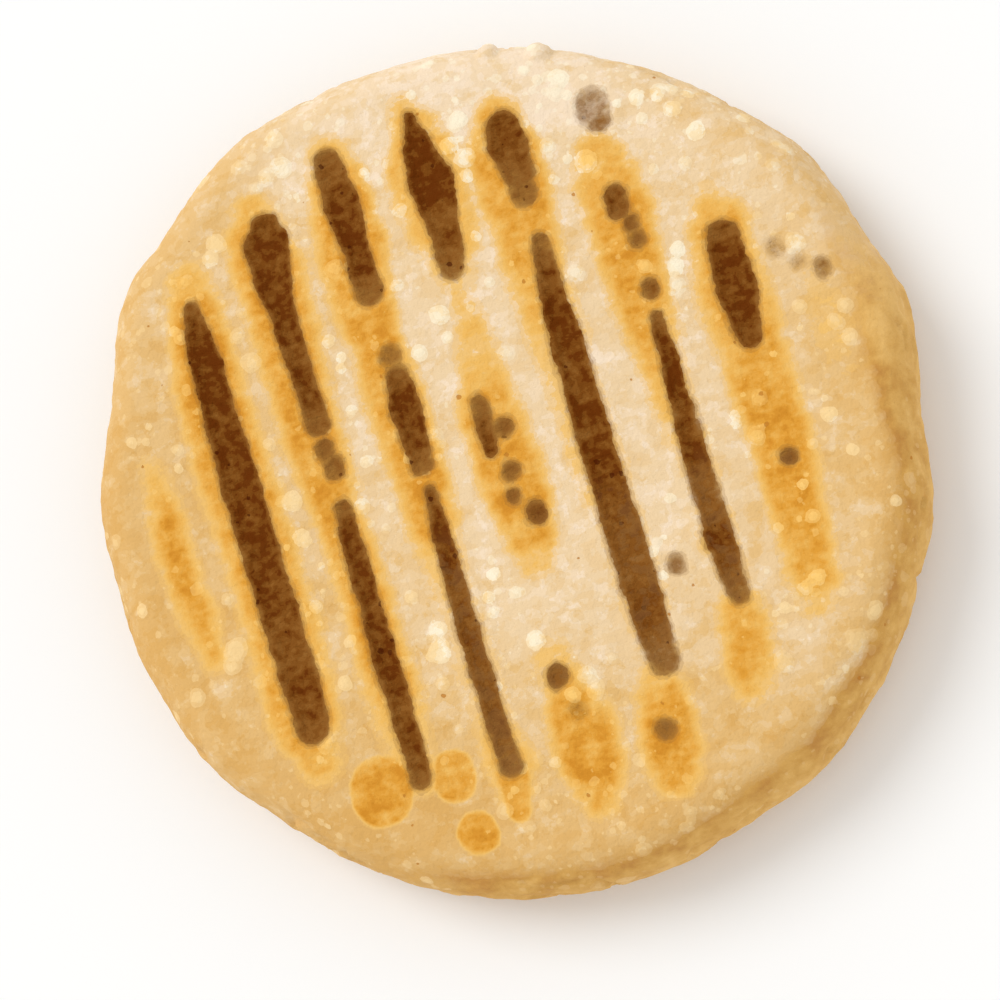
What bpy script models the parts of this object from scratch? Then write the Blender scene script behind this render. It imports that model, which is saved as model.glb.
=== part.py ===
"""Arepa: a thick round cake of white corn dough, browned on a grate.

One solid. Two hands pat a ball of dough into a disc, so its rim wanders in and out, its top is
slightly domed and waved, and its side bulges a little below the middle. The bars of a hot grate
then press shallow grooves into both faces, where they brown the crust.

The cake lies on its flat base. The origin is at the middle of that base, with +Z up.
"""

import math
from collections import namedtuple

import bpy
import bmesh
from mathutils import Vector

MM = 0.001  # every size below is in millimetres, and mesh coordinates are in metres

# Driving sizes of the patted disc
DIAMETER = 110.0
THICKNESS = 17.0
DOME_RISE = 0.8
BELLY_HEIGHT = 7.4
SHOULDER_SHARE = 0.89
FOOT_SHARE = 0.84

# How far the rim strays from a circle. The disc is a little longer one way, and each bulge or dent
# is a direction in degrees, how far it stands out and how wide it spreads to either side.
OVAL_REACH = 1.0
OVAL_DIRECTION = 122.0
Bulge = namedtuple("Bulge", "direction reach spread")
RIM_BULGES = [
    Bulge(5, -1.2, 7),
    Bulge(23, 1.05, 6),
    Bulge(47, 1.05, 10),
    Bulge(91, -0.6, 34),
    Bulge(130, 1.15, 7),
    Bulge(140, 0.65, 4),
    Bulge(156, 1.25, 5),
    Bulge(175, -1.45, 8),
    Bulge(198, -0.45, 6),
    Bulge(228, 0.5, 6),
    Bulge(241, -0.45, 11),
    Bulge(305, -0.5, 7),
    Bulge(317, 0.4, 7),
    Bulge(344, -0.35, 5),
]

# The waves that two hands leave in the top
WAVE_HEIGHT = 0.22
WAVE_LENGTH = 52.0

# The grate: parallel bars an even pitch apart, counted from the left. The lower face lay on it in
# another place, turned a little.
BAR_PITCH = 11.15
TOP_GRATE_TURN = -72.1
TOP_FIRST_BAR = -43.1
BASE_GRATE_TURN = -64.0
BASE_BAR_COUNT = 6

# Where a bar touched the top. Each station is a distance along the bar, how far the mark strays to
# the side of the bar's own line, and the mark's half width there.
Mark = namedtuple("Mark", "bar stations")
Station = namedtuple("Station", "along stray half_width")
TOP_MARKS = [
    Mark(1, [Station(-30.5, -0.8, 1.0), Station(-24.5, -0.8, 1.9), Station(-0.5, -0.4, 2.4),
             Station(13.5, 0.0, 2.4), Station(26.5, 0.6, 2.0)]),
    Mark(2, [Station(-39, -0.5, 2.3), Station(-36.5, -0.4, 3.0), Station(-32.5, -0.5, 2.7),
             Station(-26.5, -0.2, 1.9), Station(-10.5, 0.1, 1.4)]),
    Mark(2, [Station(0.5, 0.4, 0.8), Station(7.5, 0.4, 1.3), Station(19.5, 0.6, 1.6),
             Station(36.5, 0.9, 1.4)]),
    Mark(3, [Station(-44, -1.2, 1.7), Station(-37.5, -0.4, 2.5), Station(-30.5, -0.2, 2.0),
             Station(-24.5, -0.2, 1.8)]),
    Mark(3, [Station(-14.5, 0.3, 1.2), Station(-8.5, 0.3, 2.1), Station(-1.5, 0.4, 1.3)]),
    Mark(3, [Station(2.5, 0.5, 0.8), Station(7.5, 0.5, 1.3), Station(19.5, 0.7, 1.5),
             Station(38.5, 0.9, 1.3)]),
    Mark(4, [Station(-45.5, -0.1, 0.8), Station(-36.5, 0.3, 3.0), Station(-29.5, 0.2, 1.8),
             Station(-24.5, 0.1, 1.6)]),
    Mark(4, [Station(-6.5, -1.5, 0.9), Station(-3.5, -1.7, 1.2), Station(-0.5, -1.8, 0.9)]),
    Mark(5, [Station(-41.5, 0.0, 2.2), Station(-36.5, 0.1, 2.4), Station(-31.5, 0.5, 1.7)]),
    Mark(5, [Station(-24.5, 0.6, 1.0), Station(-15.5, 0.4, 1.9), Station(4.5, 0.2, 2.2),
             Station(19.5, 0.3, 2.3), Station(31.5, 0.3, 1.7)]),
    Mark(6, [Station(-10.5, 0.9, 0.7), Station(-0.5, 0.6, 1.3), Station(18.5, 0.4, 1.7),
             Station(26.5, 0.5, 1.2)]),
    Mark(7, [Station(-18, 0.0, 2.3), Station(-10.5, 0.0, 2.5), Station(-4.5, -0.1, 1.7)]),
]

# The bars are round rods. Under the base the marks run right across, to near the foot.
ROD_RADIUS = 4.5
BASE_MARK_HALF_WIDTH = 1.7
BASE_MARK_SWELL = 0.35
BASE_MARK_EDGE_GAP = 4.0
BASE_MARK_TAPER = 9.0
TIP_SHARE = 0.4  # a mark's half width at its very ends, as a share of the width just before them

# How finely the surfaces are faceted
SEGMENTS = 120
TOP_RINGS = 10
SHOULDER_RINGS = 6
FOOT_RINGS = 5
ROD_STEP = 6.0
ROD_BEVEL_RESOLUTION = 10
AXIS_MERGE_DISTANCE = 0.0001
WELD_DISTANCE = 0.00001

CRUST_COLOUR = (0.80, 0.57, 0.30, 1.0)
CRUST_ROUGHNESS = 0.7


def rim_radius(degrees):
    """The rim's distance from the middle of the disc, in a direction given in degrees."""
    oval = OVAL_REACH * math.cos(math.radians(2 * (degrees - OVAL_DIRECTION)))
    radius = DIAMETER / 2 + oval
    for bulge in RIM_BULGES:
        away = (degrees - bulge.direction + 180) % 360 - 180
        radius += bulge.reach * math.exp(-((away / bulge.spread) ** 2))
    return radius


def outline_middle():
    """The middle of the box round the outline, which becomes the origin."""
    directions = [360 * i / SEGMENTS for i in range(SEGMENTS)]
    xs = [rim_radius(d) * math.cos(math.radians(d)) for d in directions]
    ys = [rim_radius(d) * math.sin(math.radians(d)) for d in directions]
    return (min(xs) + max(xs)) / 2, (min(ys) + max(ys)) / 2


MIDDLE = outline_middle()


def quarter_turn(share, start):
    """1 up to start, then the height of a quarter ellipse that reaches 0 at the rim."""
    along = max(0.0, (share - start) / (1 - start))
    return math.sqrt(max(0.0, 1 - along * along))


def top_height(share):
    """The top's height at a share of the rim's distance, before the waves."""
    dome = THICKNESS - DOME_RISE * share * share
    return BELLY_HEIGHT + (dome - BELLY_HEIGHT) * quarter_turn(share, SHOULDER_SHARE)


def base_height(share):
    """The underside's height at a share of the rim's distance. It is flat as far as the foot."""
    return BELLY_HEIGHT * (1 - quarter_turn(share, FOOT_SHARE))


def wave(x, y):
    """Low waves across the top, from two crossing ripples."""
    turn = 2 * math.pi / WAVE_LENGTH
    return WAVE_HEIGHT * (math.sin(turn * (x + 0.4 * y) + 0.6) + math.sin(turn * (y - 0.3 * x) - 1.1))


def waved_top(x, y):
    """The height of the finished top at a point, counted from the origin."""
    out_x = x + MIDDLE[0]
    out_y = y + MIDDLE[1]
    share = math.hypot(out_x, out_y) / rim_radius(math.degrees(math.atan2(out_y, out_x)))
    height = top_height(min(share, 1.0))
    return height + wave(x, y) * (height - BELLY_HEIGHT) / (THICKNESS - BELLY_HEIGHT)


def side_profile():
    """Half of the disc's section, from the middle of the top round the side to the foot."""
    points = []
    for i in range(TOP_RINGS):
        share = SHOULDER_SHARE * i / TOP_RINGS
        points.append((share, top_height(share)))
    for i in range(SHOULDER_RINGS + 1):
        share = SHOULDER_SHARE + (1 - SHOULDER_SHARE) * math.sin(math.pi / 2 * i / SHOULDER_RINGS)
        points.append((share, top_height(share)))
    for i in range(FOOT_RINGS - 1, -1, -1):
        share = FOOT_SHARE + (1 - FOOT_SHARE) * math.sin(math.pi / 2 * i / FOOT_RINGS)
        points.append((share, base_height(share)))
    return points


def clear_scene():
    for old in list(bpy.data.objects):
        bpy.data.objects.remove(old)


def new_collection(name):
    collection = bpy.data.collections.new(name)
    bpy.context.scene.collection.children.link(collection)
    return collection


def add_object(name, data, collection):
    made = bpy.data.objects.new(name, data)
    collection.objects.link(made)
    return made


def evaluated_mesh(source):
    """A plain mesh of an object as its modifiers or its curve settings show it."""
    graph = bpy.context.evaluated_depsgraph_get()
    return bpy.data.meshes.new_from_object(source.evaluated_get(graph))


def turned_disc(collection):
    """The round disc: the side profile, turned about Z by a Screw modifier, with a flat base."""
    points = [(share * DIAMETER / 2 * MM, 0.0, height * MM) for share, height in side_profile()]
    edges = [(i, i + 1) for i in range(len(points) - 1)]
    profile = bpy.data.meshes.new("side_profile")
    profile.from_pydata(points, edges, [])
    turning = add_object("side_profile", profile, collection)
    screw = turning.modifiers.new("turn", "SCREW")
    screw.steps = SEGMENTS
    screw.render_steps = SEGMENTS
    screw.use_merge_vertices = True
    screw.merge_threshold = AXIS_MERGE_DISTANCE
    disc = evaluated_mesh(turning)
    bpy.data.objects.remove(turning)

    shape = bmesh.new()
    shape.from_mesh(disc)
    foot_edges = [edge for edge in shape.edges if edge.is_boundary]
    bmesh.ops.holes_fill(shape, edges=foot_edges, sides=0)
    bmesh.ops.recalc_face_normals(shape, faces=shape.faces)
    shape.to_mesh(disc)
    shape.free()
    return disc


def pat_by_hand(disc):
    """Moves each point of the round disc out to the uneven rim, and adds the waves of the top."""
    for vertex in disc.vertices:
        round_x, round_y, height = (c / MM for c in vertex.co)
        stretch = rim_radius(math.degrees(math.atan2(round_y, round_x))) / (DIAMETER / 2)
        x = round_x * stretch - MIDDLE[0]
        y = round_y * stretch - MIDDLE[1]
        above_belly = max(0.0, height - BELLY_HEIGHT) / (THICKNESS - BELLY_HEIGHT)
        vertex.co = Vector((x, y, height + wave(x, y) * above_belly)) * MM


def along_bar(across, along, turn):
    """The point at a distance along a bar and across from the origin, for a grate turned so."""
    angle = math.radians(turn)
    x = along * math.cos(angle) - across * math.sin(angle)
    y = along * math.sin(angle) + across * math.cos(angle)
    return x, y


def close_stations(stations):
    """The stations with more between them, and one beyond each end, where the mark narrows."""
    first = stations[0]
    last = stations[-1]
    filled = [Station(first.along - first.half_width, first.stray, first.half_width * TIP_SHARE)]
    for here, beyond in zip(stations, stations[1:]):
        count = math.ceil((beyond.along - here.along) / ROD_STEP)
        for i in range(count):
            t = i / count
            filled.append(Station(*(a + (b - a) * t for a, b in zip(here, beyond))))
    filled.append(last)
    filled.append(Station(last.along + last.half_width, last.stray, last.half_width * TIP_SHARE))
    return filled


def groove_depth(half_width):
    """How deep the round rod sinks in where its mark has that half width."""
    return ROD_RADIUS - math.sqrt(ROD_RADIUS ** 2 - half_width ** 2)


def rod_cutter(name, centres, collection):
    """A cutter: a round rod through the centres, which are in metres."""
    curve = bpy.data.curves.new(name, "CURVE")
    curve.dimensions = "3D"
    curve.bevel_depth = ROD_RADIUS * MM
    curve.bevel_resolution = ROD_BEVEL_RESOLUTION
    curve.use_fill_caps = True
    spline = curve.splines.new("POLY")
    spline.points.add(len(centres) - 1)
    for point, centre in zip(spline.points, centres):
        point.co = (*centre, 1.0)
    bar = add_object(name, curve, collection)
    rod = evaluated_mesh(bar)
    bpy.data.objects.remove(bar)

    shape = bmesh.new()
    shape.from_mesh(rod)
    bmesh.ops.remove_doubles(shape, verts=shape.verts, dist=WELD_DISTANCE)
    bmesh.ops.recalc_face_normals(shape, faces=shape.faces)
    shape.to_mesh(rod)
    shape.free()
    cutter = add_object(name, rod, collection)
    cutter.hide_render = True
    cutter.display_type = "WIRE"


def press_top(collection):
    """A rod for each mark on the top. It follows the dome and the waves, sunk in by the groove."""
    for number, mark in enumerate(TOP_MARKS):
        centres = []
        for station in close_stations(mark.stations):
            across = TOP_FIRST_BAR + BAR_PITCH * mark.bar + station.stray
            x, y = along_bar(across, station.along, TOP_GRATE_TURN)
            lift = ROD_RADIUS - groove_depth(station.half_width)
            centres.append(Vector((x, y, waved_top(x, y) + lift)) * MM)
        rod_cutter(f"top_bar_{number}", centres, collection)


def press_base(collection):
    """A rod under the flat base for each bar that the foot covers, a little wider at every other."""
    foot = FOOT_SHARE * DIAMETER / 2 - BASE_MARK_EDGE_GAP
    for number in range(BASE_BAR_COUNT):
        across = BAR_PITCH * (number - (BASE_BAR_COUNT - 1) / 2)
        reach = math.sqrt(foot ** 2 - across ** 2)
        half_width = BASE_MARK_HALF_WIDTH + BASE_MARK_SWELL * (number % 2)
        middle = reach - BASE_MARK_TAPER
        stations = [
            Station(-reach, 0.0, half_width * TIP_SHARE),
            Station(-middle, 0.0, half_width),
            Station(middle, 0.0, half_width),
            Station(reach, 0.0, half_width * TIP_SHARE),
        ]
        centres = []
        for station in stations:
            x, y = along_bar(across, station.along, BASE_GRATE_TURN)
            centres.append(Vector((x, y, groove_depth(station.half_width) - ROD_RADIUS)) * MM)
        rod_cutter(f"base_bar_{number}", centres, collection)


def crust_material():
    material = bpy.data.materials.new("browned_corn_crust")
    material.use_nodes = True
    shader = material.node_tree.nodes["Principled BSDF"]
    shader.inputs["Base Color"].default_value = CRUST_COLOUR
    shader.inputs["Roughness"].default_value = CRUST_ROUGHNESS
    shader.inputs["Metallic"].default_value = 0.0
    return material


def make_arepa():
    clear_scene()
    parts = new_collection("arepa_corn_cake")
    grate = new_collection("grate_bars")
    disc = turned_disc(parts)
    pat_by_hand(disc)
    disc.name = "arepa"
    disc.shade_smooth()
    disc.materials.append(crust_material())
    arepa = add_object("arepa", disc, parts)
    press_top(grate)
    press_base(grate)
    pressing = arepa.modifiers.new("grate_marks", "BOOLEAN")
    pressing.operation = "DIFFERENCE"
    pressing.operand_type = "COLLECTION"
    pressing.collection = grate
    pressing.solver = "EXACT"


make_arepa()
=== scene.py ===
# %% [markdown]
# # An arepa, from dough to grate marks
# An arepa is a round cake of white corn dough. Two hands pat a ball of dough into a thick disc, and
# a hot grate browns it on both faces. What the eye sees is one continuous crust: pale and grainy
# where it only dried, golden where it toasted, and dark brown in the grooves that the bars left.
#
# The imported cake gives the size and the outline. This lesson wraps one fine surface round it, works
# out fields over that surface such as "how far is the nearest char", and lets a shader read them.

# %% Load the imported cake
import itertools
import math

import bpy
import numpy as np
from mathutils import Matrix, Vector


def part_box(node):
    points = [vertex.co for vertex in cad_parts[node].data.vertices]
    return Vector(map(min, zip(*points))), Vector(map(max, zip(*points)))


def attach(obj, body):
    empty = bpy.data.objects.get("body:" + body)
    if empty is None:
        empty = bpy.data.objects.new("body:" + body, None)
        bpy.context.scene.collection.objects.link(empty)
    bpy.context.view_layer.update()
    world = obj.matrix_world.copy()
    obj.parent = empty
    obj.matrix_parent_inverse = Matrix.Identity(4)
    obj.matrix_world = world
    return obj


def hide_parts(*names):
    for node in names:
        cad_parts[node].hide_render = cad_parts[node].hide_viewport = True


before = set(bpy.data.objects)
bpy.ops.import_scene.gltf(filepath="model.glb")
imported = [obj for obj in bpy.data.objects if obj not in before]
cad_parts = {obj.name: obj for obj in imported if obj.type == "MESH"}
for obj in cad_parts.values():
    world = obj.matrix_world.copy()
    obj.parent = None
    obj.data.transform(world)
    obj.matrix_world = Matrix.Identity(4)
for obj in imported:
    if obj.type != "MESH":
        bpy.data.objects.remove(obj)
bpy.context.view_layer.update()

MM = 0.001
node_low, node_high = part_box("arepa")
print("the packed cake is", [round(side / MM, 1) for side in node_high - node_low], "mm")

# %% [markdown]
# ## The outline
# A patted rim wanders in and out by a millimetre or so. Rather than guess it again, the outline is
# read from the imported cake: its points at the height of the belly, the widest ring, give the rim's
# distance in each direction. Keeping only the slow part of that curve takes out the flat facets.

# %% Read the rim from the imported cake
BELLY_HEIGHT = 7.4
BELLY_BAND = 0.4
OUTLINE_STEPS = 720
OUTLINE_WAVES = 60


def packed_points(node):
    """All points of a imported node, in millimetres, as one array of rows x, y, z."""
    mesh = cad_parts[node].data
    flat = np.empty(len(mesh.vertices) * 3, np.float32)
    mesh.vertices.foreach_get("co", flat)
    return flat.reshape(-1, 3).astype(float) / MM


def measured_outline(points):
    """The rim's distance from the Z axis at even directions.

    Formula: sort the belly's points by direction, join them by straight lines, and keep only the
    slowest waves of the curve that this gives.
    """
    belly = points[np.abs(points[:, 2] - BELLY_HEIGHT) < BELLY_BAND]
    direction = np.arctan2(belly[:, 1], belly[:, 0])
    even = np.linspace(-np.pi, np.pi, OUTLINE_STEPS, endpoint=False)
    order = np.argsort(direction)
    distance = np.hypot(belly[:, 0], belly[:, 1])
    joined = np.interp(even, direction[order], distance[order], period=2 * np.pi)
    waves = np.fft.rfft(joined)
    waves[OUTLINE_WAVES:] = 0
    return even, np.fft.irfft(waves, OUTLINE_STEPS)


outline_direction, outline_distance = measured_outline(packed_points("arepa"))
print("rim from", outline_distance.min().round(1), "to", outline_distance.max().round(1), "mm")


def rim_distance(direction):
    """The rim's distance in any direction, in radians, read from the measured outline."""
    return np.interp(direction, outline_direction, outline_distance, period=2 * np.pi)


# %% [markdown]
# ## The side
# Seen from the side, the cake has a nearly flat top, a shoulder that rounds over into the wall, a
# belly a little below the middle, and a rounded foot. Two quarter ellipses say all of that.

# %% Shoulder, belly and foot
SHOULDER_SHARE = 0.89
FOOT_SHARE = 0.84
DOME_RISE = 0.8
TOP_HEIGHT = 17.0


def quarter_ellipse(turn):
    """A rounding from 0 to 1: how far out and how far down it is at a turn from 0 to a right angle."""
    return np.sin(turn), np.cos(turn)


def top_height(share):
    """The top's height. Formula: a low dome that drops with the square of the share of the rim."""
    return TOP_HEIGHT - DOME_RISE * share ** 2


# %% [markdown]
# ## One closed sheet of crust
# A disc made of rings crowds its points at the middle. Here a square grid is pushed into a disc
# instead, which keeps the cells about equal. The top is such a sheet, the wall is a strip of rows
# that starts at its edge, and the underside is a second, coarser sheet that closes the bottom.

# %% Grids
TOP_CELLS = 212
WALL_ROWS = 44
BASE_CELLS = TOP_CELLS // 2


def square_to_disc(across, up):
    """Maps a square from -1 to 1 to a disc of radius 1, as shares of the rim and directions.

    Formula: the larger of the two coordinates is the ring, and the smaller, as a share of the
    larger, is the place along that side's quarter of the turn.
    """
    sideways = np.abs(across) >= np.abs(up)
    ring = np.where(sideways, across, up)
    rest = np.where(sideways, up, across)
    slant = np.pi / 4 * rest / np.where(ring == 0, 1, ring)
    direction = np.where(sideways, slant, np.pi / 2 - slant)
    direction = np.where(ring < 0, direction + np.pi, direction)
    return np.abs(ring), direction


def square_grid(cells):
    """The two coordinates of a square grid from -1 to 1, with that many cells to a side."""
    line = np.linspace(-1, 1, cells + 1)
    return np.meshgrid(line, line, indexing="xy")


def edge_loop(numbers):
    """The point numbers round a square grid's edge, anticlockwise from its lower right corner."""
    right = numbers[:-1, -1]
    top = numbers[-1, :0:-1]
    left = numbers[:0:-1, 0]
    bottom = numbers[0, :-1]
    return np.concatenate([right, top, left, bottom])


def grid_triangles(numbers):
    """Two triangles for each cell of a grid of point numbers, anticlockwise seen from the front.

    Each cell is cut along one diagonal in two opposite quarters of the grid and along the other
    diagonal in the other two, so that no corner cell of a disc gets a triangle without height.
    """
    here, right = numbers[:-1, :-1], numbers[:-1, 1:]
    above, across = numbers[1:, :-1], numbers[1:, 1:]
    rising = np.stack([here, right, across, here, across, above], -1)
    falling = np.stack([here, right, above, right, across, above], -1)
    row, column = np.indices(here.shape)
    same_side = (2 * row < here.shape[0]) == (2 * column < here.shape[1])
    return np.where(same_side[..., None], rising, falling).reshape(-1, 3)


def crust_parts():
    """Places of all points, before any relief, as share of the rim, direction and height."""
    ring, direction = square_to_disc(*square_grid(TOP_CELLS))
    top = (SHOULDER_SHARE * ring, direction, top_height(SHOULDER_SHARE * ring))

    rows = np.arange(1, WALL_ROWS + 1) / WALL_ROWS * np.pi
    around = -np.pi / 4 + 2 * np.pi * np.arange(4 * TOP_CELLS) / (4 * TOP_CELLS)
    out, drop = quarter_ellipse(np.minimum(rows, np.pi / 2))
    shoulder = SHOULDER_SHARE + (1 - SHOULDER_SHARE) * out
    shoulder_height = BELLY_HEIGHT + (top_height(shoulder) - BELLY_HEIGHT) * drop
    inward, lift = quarter_ellipse(np.maximum(np.pi - rows, 0))
    foot = FOOT_SHARE + (1 - FOOT_SHARE) * inward
    foot_height = BELLY_HEIGHT * (1 - lift)
    upper_half = rows <= np.pi / 2
    share = np.where(upper_half, shoulder, foot)
    height = np.where(upper_half, shoulder_height, foot_height)
    wall = (
        np.repeat(share[:, None], around.size, 1),
        np.repeat(around[None, :], rows.size, 0),
        np.repeat(height[:, None], around.size, 1),
    )

    ring, direction = square_to_disc(*square_grid(BASE_CELLS))
    base_share = FOOT_SHARE * ring * (1 - 1 / BASE_CELLS)
    base = (base_share, direction, np.zeros_like(base_share))
    return top, wall, base


def crust_triangles():
    """The triangles of the top, the wall, the base and the seam between wall and base."""
    top = np.arange((TOP_CELLS + 1) ** 2).reshape(TOP_CELLS + 1, -1)
    wall = top.size + np.arange(WALL_ROWS * 4 * TOP_CELLS).reshape(WALL_ROWS, -1)
    base = top.size + wall.size + np.arange((BASE_CELLS + 1) ** 2).reshape(BASE_CELLS + 1, -1)
    rows = np.concatenate([edge_loop(top)[None, :], wall])
    closed_rows = np.concatenate([rows, rows[:, :1]], axis=1)
    wall_faces = grid_triangles(closed_rows[::-1])

    outer = np.append(wall[-1], wall[-1, 0])
    inner = np.append(edge_loop(base), edge_loop(base)[0])
    first, middle, last = outer[:-1:2], outer[1::2], outer[2::2]
    seam = np.concatenate([
        np.stack([first, inner[:-1], middle], -1),
        np.stack([middle, inner[:-1], inner[1:]], -1),
        np.stack([middle, inner[1:], last], -1),
    ])
    return np.concatenate([grid_triangles(top), wall_faces, seam, grid_triangles(base)[:, ::-1]])


parts = crust_parts()
share, direction, height = (np.concatenate([part[i].ravel() for part in parts]) for i in range(3))
triangles = crust_triangles()
print(share.size, "points and", len(triangles), "triangles in the crust")

# %% [markdown]
# ## Lumps
# Dough has lumps at every size, from the dents of fingertips to the grain of the meal. One helper
# makes smooth random lumps of a chosen size, and everything uneven below is a mix of its layers.

# %% Smooth random lumps
AXIS_ODDS = (73856093, 19349663, 83492791)
SEED_STEP = 97
SEED_START = 13
STIRS = ((15, 2246822519), (13, 3266489917), (16, 1))


def corner_number(cell, seed):
    """A fixed random number from -1 to 1 for each whole-numbered corner of space.

    Formula: multiply the three indices by large odd numbers, join them, and stir the bits.
    """
    index = cell.astype(np.uint32)
    mixed = np.uint32(seed * SEED_STEP + SEED_START)
    for axis, odd in enumerate(AXIS_ODDS):
        mixed = mixed ^ index[..., axis] * np.uint32(odd)
    for bits, odd in STIRS:
        mixed = (mixed ^ mixed >> np.uint32(bits)) * np.uint32(odd)
    return mixed / 2.0 ** 31 - 1


def lumps(points, size, seed):
    """Smooth lumps about `size` millimetres wide, from -1 to 1.

    Formula: cut space into cubes of that size, and give each point the mean of its cube's eight
    corner numbers, weighted by how near it is to each, with the weights eased in and out.
    """
    place = points / size
    cell = np.floor(place).astype(np.int64)
    part = place - cell
    eased = part * part * (3 - 2 * part)
    total = np.zeros(len(points))
    for corner in itertools.product((0, 1), repeat=3):
        weight = np.where(np.array(corner) == 1, eased, 1 - eased).prod(axis=1)
        total += weight * corner_number(cell + np.array(corner), seed)
    return total


def layered_lumps(points, size, seed, layers=3):
    """Lumps with finer lumps on them. Formula: each layer has half the size and half the height."""
    return sum(lumps(points, size / 2 ** i, seed + i) / 2 ** i for i in range(layers))


def soft_step(value, low, high):
    """0 at low and 1 at high, eased at both ends. It runs downhill where high is under low."""
    t = np.clip((value - low) / (high - low), 0, 1)
    return t * t * (3 - 2 * t)


# %% The bare shape, with the low waves that two hands leave
WAVE_HEIGHT = 0.22
WAVE_LENGTH = 52.0

# Two waves that cross, as share of x, share of y and start
WAVES = [(1.0, 0.4, 0.6), (-0.3, 1.0, -1.1)]


def ripples(x, y):
    """Low waves across the top. Formula: two sine ripples that cross each other."""
    turn = 2 * np.pi / WAVE_LENGTH
    return WAVE_HEIGHT * sum(np.sin(turn * (of_x * x + of_y * y) + start) for of_x, of_y, start in WAVES)


reach = share * rim_distance(direction)
x = reach * np.cos(direction)
y = reach * np.sin(direction)
above_belly = np.clip((height - BELLY_HEIGHT) / (TOP_HEIGHT - BELLY_HEIGHT), 0, 1)
bare = np.stack([x, y, height + ripples(x, y) * above_belly], axis=1)


def outward(points):
    """The outward direction at each point, one long. Formula: add up its triangles' facings."""
    corners = points[triangles]
    facing = np.cross(corners[:, 1] - corners[:, 0], corners[:, 2] - corners[:, 0])
    total = np.zeros_like(points)
    for corner in range(3):
        np.add.at(total, triangles[:, corner], facing)
    return total / np.linalg.norm(total, axis=1, keepdims=True)


normal = outward(bare)
print("bare crust from", bare.min(0).round(1), "to", bare.max(0).round(1), "mm")

# %% [markdown]
# ## Where the grate touched
# The bars lie an even pitch apart, and the cake touched each of them only in places. A mark is a
# chain of stations: how far along the bar, how far the mark strays to the side, its half width and
# how burnt it is there. The field that matters is the distance to the nearest mark's edge, in
# millimetres and negative inside, because one field then drives groove, char, stain and halo.

# %% The grate's own axes
BAR_PITCH = 11.15
TOP_GRATE_TURN = math.radians(-72.1)
TOP_FIRST_BAR = -43.1
BASE_GRATE_TURN = math.radians(-64.0)
BASE_BAR_COUNT = 6


def grate_axes(points, turn):
    """Along and across the bars of a grate that is turned by an angle from the X axis."""
    along = points[:, 0] * math.cos(turn) + points[:, 1] * math.sin(turn)
    across = points[:, 1] * math.cos(turn) - points[:, 0] * math.sin(turn)
    return along, across


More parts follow.
